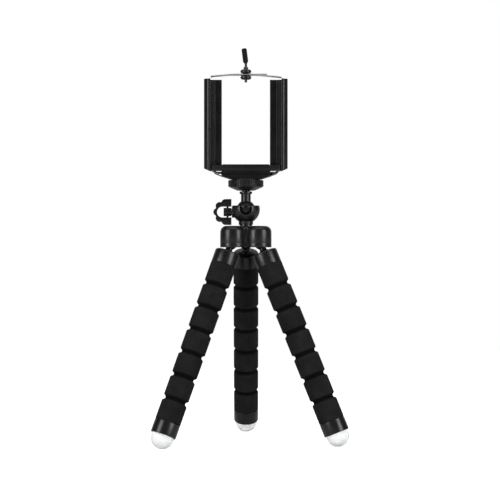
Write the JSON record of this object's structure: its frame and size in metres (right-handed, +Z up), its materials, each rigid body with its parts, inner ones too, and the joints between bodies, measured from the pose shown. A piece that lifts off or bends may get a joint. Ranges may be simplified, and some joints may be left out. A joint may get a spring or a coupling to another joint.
{
  "type": "phone tripod",
  "caption": "Small tripod with bendable foam legs, a ball head with a side knob, and a sprung phone holder with wire arms and a clamp.",
  "frame": {"origin": "middle of the footprint on the floor, at the base of the box round the whole part", "axes": "+Z up, -Y the side that faces the phone user, +X to the right seen from the front"},
  "size_m": [0.1446, 0.1294, 0.2948],
  "materials": {
    "black_plastic": "satin",
    "core_plastic": "matt",
    "foam": "matt sponge",
    "rubber": "matt",
    "silicone": "translucent satin",
    "pale_plastic": "matt",
    "steel": "satin",
    "brass": "satin",
    "chrome": "polished"
  },
  "bodies": {
    "hub": {"hub_shell": "black_plastic", "hub_plate": "black_plastic", "hub_screws": "steel"},
    "cup": {"ball_cup": "black_plastic", "ball_seat": "pale_plastic", "pan_bolt": "steel"},
    "pad": {"press_pad": "brass"},
    "knob": {"knob_screw": "steel", "lock_knob": "black_plastic"},
    "stud": {"ball_stud": "black_plastic"},
    "ring_pad": {"ring_pad": "rubber"},
    "lock_ring": {"lock_ring": "black_plastic"},
    "holder": {"holder_base": "black_plastic", "holder_tray": "black_plastic", "thread_insert": "brass", "clamp_nut": "black_plastic"},
    "clamp_washer": {"clamp_washer": "black_plastic"},
    "clamp": {"clamp_screw": "steel", "clamp_lever": "black_plastic"},
    "left_jaw": {"left_jaw": "black_plastic", "left_grip": "rubber", "left_wire": "chrome", "left_stop": "steel", "left_spring": "steel"},
    "right_jaw": {"right_jaw": "black_plastic", "right_grip": "rubber", "right_wire": "chrome", "right_stop": "steel", "right_spring": "steel"},
    "back_pin": {"back_pin": "black_plastic"},
    "back_cap": {"back_cap": "black_plastic", "back_sleeve": "foam"},
    "back_link_2": {"back_link_2": "core_plastic"},
    "back_link_3": {"back_link_3": "core_plastic"},
    "back_link_4": {"back_link_4": "core_plastic"},
    "back_link_5": {"back_link_5": "core_plastic"},
    "back_link_6": {"back_link_6": "core_plastic"},
    "back_foot": {"back_foot": "black_plastic", "back_tip": "silicone"},
    "left_pin": {"left_pin": "black_plastic"},
    "left_cap": {"left_cap": "black_plastic", "left_sleeve": "foam"},
    "left_link_2": {"left_link_2": "core_plastic"},
    "left_link_3": {"left_link_3": "core_plastic"},
    "left_link_4": {"left_link_4": "core_plastic"},
    "left_link_5": {"left_link_5": "core_plastic"},
    "left_link_6": {"left_link_6": "core_plastic"},
    "left_foot": {"left_foot": "black_plastic", "left_tip": "silicone"},
    "right_pin": {"right_pin": "black_plastic"},
    "right_cap": {"right_cap": "black_plastic", "right_sleeve": "foam"},
    "right_link_2": {"right_link_2": "core_plastic"},
    "right_link_3": {"right_link_3": "core_plastic"},
    "right_link_4": {"right_link_4": "core_plastic"},
    "right_link_5": {"right_link_5": "core_plastic"},
    "right_link_6": {"right_link_6": "core_plastic"},
    "right_foot": {"right_foot": "black_plastic", "right_tip": "silicone"}
  },
  "joints": [
    {"name": "pan", "type": "hinge", "parent": "hub", "child": "cup", "pos_m": [-0.00347, -0.01608, 0.16185], "axis": [0, 0, 1], "continuous": true},
    {"name": "tilt", "type": "hinge", "parent": "cup", "child": "stud", "pos_m": [-0.00347, -0.01608, 0.17425], "axis": [1, 0, 0], "range_deg": [-30, 85]},
    {"name": "knob_turn", "type": "hinge", "parent": "pad", "child": "knob", "pos_m": [-0.00347, -0.01608, 0.17225], "axis": [1, 0, 0], "range_deg": [-361, 1]},
    {"name": "knob_travel", "type": "slide", "parent": "cup", "child": "pad", "axis": [1, 0, 0], "range_m": [-0.0008, 0]},
    {"name": "ring_turn", "type": "hinge", "parent": "ring_pad", "child": "lock_ring", "pos_m": [-0.00347, -0.01608, 0.19614], "axis": [0, 0, 1], "range_deg": [-181, 1]},
    {"name": "ring_travel", "type": "slide", "parent": "stud", "child": "ring_pad", "axis": [0, 0, 1], "range_m": [-0.000635, 0]},
    {"name": "holder_turn", "type": "hinge", "parent": "stud", "child": "holder", "pos_m": [-0.00347, -0.01608, 0.19694], "axis": [0, 0, 1], "continuous": true},
    {"name": "left_jaw_slide", "type": "slide", "parent": "holder", "child": "left_jaw", "axis": [-1, 0, 0], "range_m": [0, 0.015], "stiffness_N_per_m": 150, "springref_m": -0.02, "deforming": ["left_spring"]},
    {"name": "right_jaw_slide", "type": "slide", "parent": "holder", "child": "right_jaw", "axis": [1, 0, 0], "range_m": [0, 0.015], "stiffness_N_per_m": 150, "springref_m": -0.02, "deforming": ["right_spring"]},
    {"name": "clamp_turn", "type": "hinge", "parent": "clamp_washer", "child": "clamp", "pos_m": [-0.00347, -0.01608, 0.27889], "axis": [0, 0, 1], "range_deg": [-1, 181]},
    {"name": "clamp_travel", "type": "slide", "parent": "holder", "child": "clamp_washer", "axis": [0, 0, 1], "range_m": [0, 0.00025]},
    {"name": "back_spread", "type": "hinge", "parent": "hub", "child": "back_pin", "pos_m": [-0.00347, -0.00338, 0.14861], "axis": [1, 0, 0], "range_deg": [-23, 12]},
    {"name": "back_spin", "type": "hinge", "parent": "back_pin", "child": "back_cap", "pos_m": [-0.00347, -0.00065, 0.14217], "axis": [0, 0.3907, -0.9205], "range_deg": [-90, 90]},
    {"name": "back_bend", "type": "hinge", "parent": "back_cap", "child": "back_link_2", "pos_m": [-0.00347, 0.01002, 0.11704], "axis": [1, 0, 0], "range_deg": [-20, 20], "deforming": ["back_sleeve"]},
    {"name": "back_bend_2", "type": "hinge", "parent": "back_link_2", "child": "back_link_3", "pos_m": [-0.00347, 0.01705, 0.10047], "axis": [1, 0, 0], "range_deg": [-20, 20], "deforming": ["back_sleeve"]},
    {"name": "back_bend_3", "type": "hinge", "parent": "back_link_3", "child": "back_link_4", "pos_m": [-0.00347, 0.02408, 0.0839], "axis": [1, 0, 0], "range_deg": [-20, 20], "deforming": ["back_sleeve"]},
    {"name": "back_bend_4", "type": "hinge", "parent": "back_link_4", "child": "back_link_5", "pos_m": [-0.00347, 0.03112, 0.06733], "axis": [1, 0, 0], "range_deg": [-20, 20], "deforming": ["back_sleeve"]},
    {"name": "back_bend_5", "type": "hinge", "parent": "back_link_5", "child": "back_link_6", "pos_m": [-0.00347, 0.03815, 0.05076], "axis": [1, 0, 0], "range_deg": [-20, 20], "deforming": ["back_sleeve"]},
    {"name": "back_bend_6", "type": "hinge", "parent": "back_link_6", "child": "back_foot", "pos_m": [-0.00347, 0.04518, 0.03419], "axis": [1, 0, 0], "range_deg": [-20, 20], "deforming": ["back_sleeve"]},
    {"name": "left_spread", "type": "hinge", "parent": "hub", "child": "left_pin", "pos_m": [-0.01447, -0.02243, 0.14861], "axis": [-0.5592, 0.829, 0], "range_deg": [-23, 12]},
    {"name": "left_spin", "type": "hinge", "parent": "left_pin", "child": "left_cap", "pos_m": [-0.01673, -0.02396, 0.14217], "axis": [-0.3239, -0.2185, -0.9205], "range_deg": [-90, 90]},
    {"name": "left_bend", "type": "hinge", "parent": "left_cap", "child": "left_link_2", "pos_m": [-0.02558, -0.02993, 0.11704], "axis": [-0.5592, 0.829, 0], "range_deg": [-20, 20], "deforming": ["left_sleeve"]},
    {"name": "left_bend_2", "type": "hinge", "parent": "left_link_2", "child": "left_link_3", "pos_m": [-0.03141, -0.03386, 0.10047], "axis": [-0.5592, 0.829, 0], "range_deg": [-20, 20], "deforming": ["left_sleeve"]},
    {"name": "left_bend_3", "type": "hinge", "parent": "left_link_3", "child": "left_link_4", "pos_m": [-0.03724, -0.03779, 0.0839], "axis": [-0.5592, 0.829, 0], "range_deg": [-20, 20], "deforming": ["left_sleeve"]},
    {"name": "left_bend_4", "type": "hinge", "parent": "left_link_4", "child": "left_link_5", "pos_m": [-0.04307, -0.04173, 0.06733], "axis": [-0.5592, 0.829, 0], "range_deg": [-20, 20], "deforming": ["left_sleeve"]},
    {"name": "left_bend_5", "type": "hinge", "parent": "left_link_5", "child": "left_link_6", "pos_m": [-0.0489, -0.04566, 0.05076], "axis": [-0.5592, 0.829, 0], "range_deg": [-20, 20], "deforming": ["left_sleeve"]},
    {"name": "left_bend_6", "type": "hinge", "parent": "left_link_6", "child": "left_foot", "pos_m": [-0.05473, -0.04959, 0.03419], "axis": [-0.5592, 0.829, 0], "range_deg": [-20, 20], "deforming": ["left_sleeve"]},
    {"name": "right_spread", "type": "hinge", "parent": "hub", "child": "right_pin", "pos_m": [0.00753, -0.02243, 0.14861], "axis": [-0.3256, -0.9455, 0], "range_deg": [-23, 12]},
    {"name": "right_spin", "type": "hinge", "parent": "right_pin", "child": "right_cap", "pos_m": [0.01012, -0.02332, 0.14217], "axis": [0.3694, -0.1272, -0.9205], "range_deg": [-90, 90]},
    {"name": "right_bend", "type": "hinge", "parent": "right_cap", "child": "right_link_2", "pos_m": [0.0202, -0.0268, 0.11704], "axis": [-0.3256, -0.9455, 0], "range_deg": [-20, 20], "deforming": ["right_sleeve"]},
    {"name": "right_bend_2", "type": "hinge", "parent": "right_link_2", "child": "right_link_3", "pos_m": [0.02685, -0.02909, 0.10047], "axis": [-0.3256, -0.9455, 0], "range_deg": [-20, 20], "deforming": ["right_sleeve"]},
    {"name": "right_bend_3", "type": "hinge", "parent": "right_link_3", "child": "right_link_4", "pos_m": [0.0335, -0.03138, 0.0839], "axis": [-0.3256, -0.9455, 0], "range_deg": [-20, 20], "deforming": ["right_sleeve"]},
    {"name": "right_bend_4", "type": "hinge", "parent": "right_link_4", "child": "right_link_5", "pos_m": [0.04015, -0.03367, 0.06733], "axis": [-0.3256, -0.9455, 0], "range_deg": [-20, 20], "deforming": ["right_sleeve"]},
    {"name": "right_bend_5", "type": "hinge", "parent": "right_link_5", "child": "right_link_6", "pos_m": [0.0468, -0.03596, 0.05076], "axis": [-0.3256, -0.9455, 0], "range_deg": [-20, 20], "deforming": ["right_sleeve"]},
    {"name": "right_bend_6", "type": "hinge", "parent": "right_link_6", "child": "right_foot", "pos_m": [0.05345, -0.03825, 0.03419], "axis": [-0.3256, -0.9455, 0], "range_deg": [-20, 20], "deforming": ["right_sleeve"]}
  ],
  "couplings": [
    {"joint": "knob_turn", "follows": "knob_travel", "rad_per_m": 7854},
    {"joint": "ring_turn", "follows": "ring_travel", "rad_per_m": 4947.4},
    {"joint": "clamp_turn", "follows": "clamp_travel", "rad_per_m": 12566},
    {"joint": "right_jaw_slide", "follows": "left_jaw_slide", "ratio": 1},
    {"joint": "back_bend_2", "follows": "back_bend", "ratio": 1},
    {"joint": "back_bend_3", "follows": "back_bend", "ratio": 1},
    {"joint": "back_bend_4", "follows": "back_bend", "ratio": 1},
    {"joint": "back_bend_5", "follows": "back_bend", "ratio": 1},
    {"joint": "back_bend_6", "follows": "back_bend", "ratio": 1},
    {"joint": "left_bend_2", "follows": "left_bend", "ratio": 1},
    {"joint": "left_bend_3", "follows": "left_bend", "ratio": 1},
    {"joint": "left_bend_4", "follows": "left_bend", "ratio": 1},
    {"joint": "left_bend_5", "follows": "left_bend", "ratio": 1},
    {"joint": "left_bend_6", "follows": "left_bend", "ratio": 1},
    {"joint": "right_bend_2", "follows": "right_bend", "ratio": 1},
    {"joint": "right_bend_3", "follows": "right_bend", "ratio": 1},
    {"joint": "right_bend_4", "follows": "right_bend", "ratio": 1},
    {"joint": "right_bend_5", "follows": "right_bend", "ratio": 1},
    {"joint": "right_bend_6", "follows": "right_bend", "ratio": 1}
  ]
}
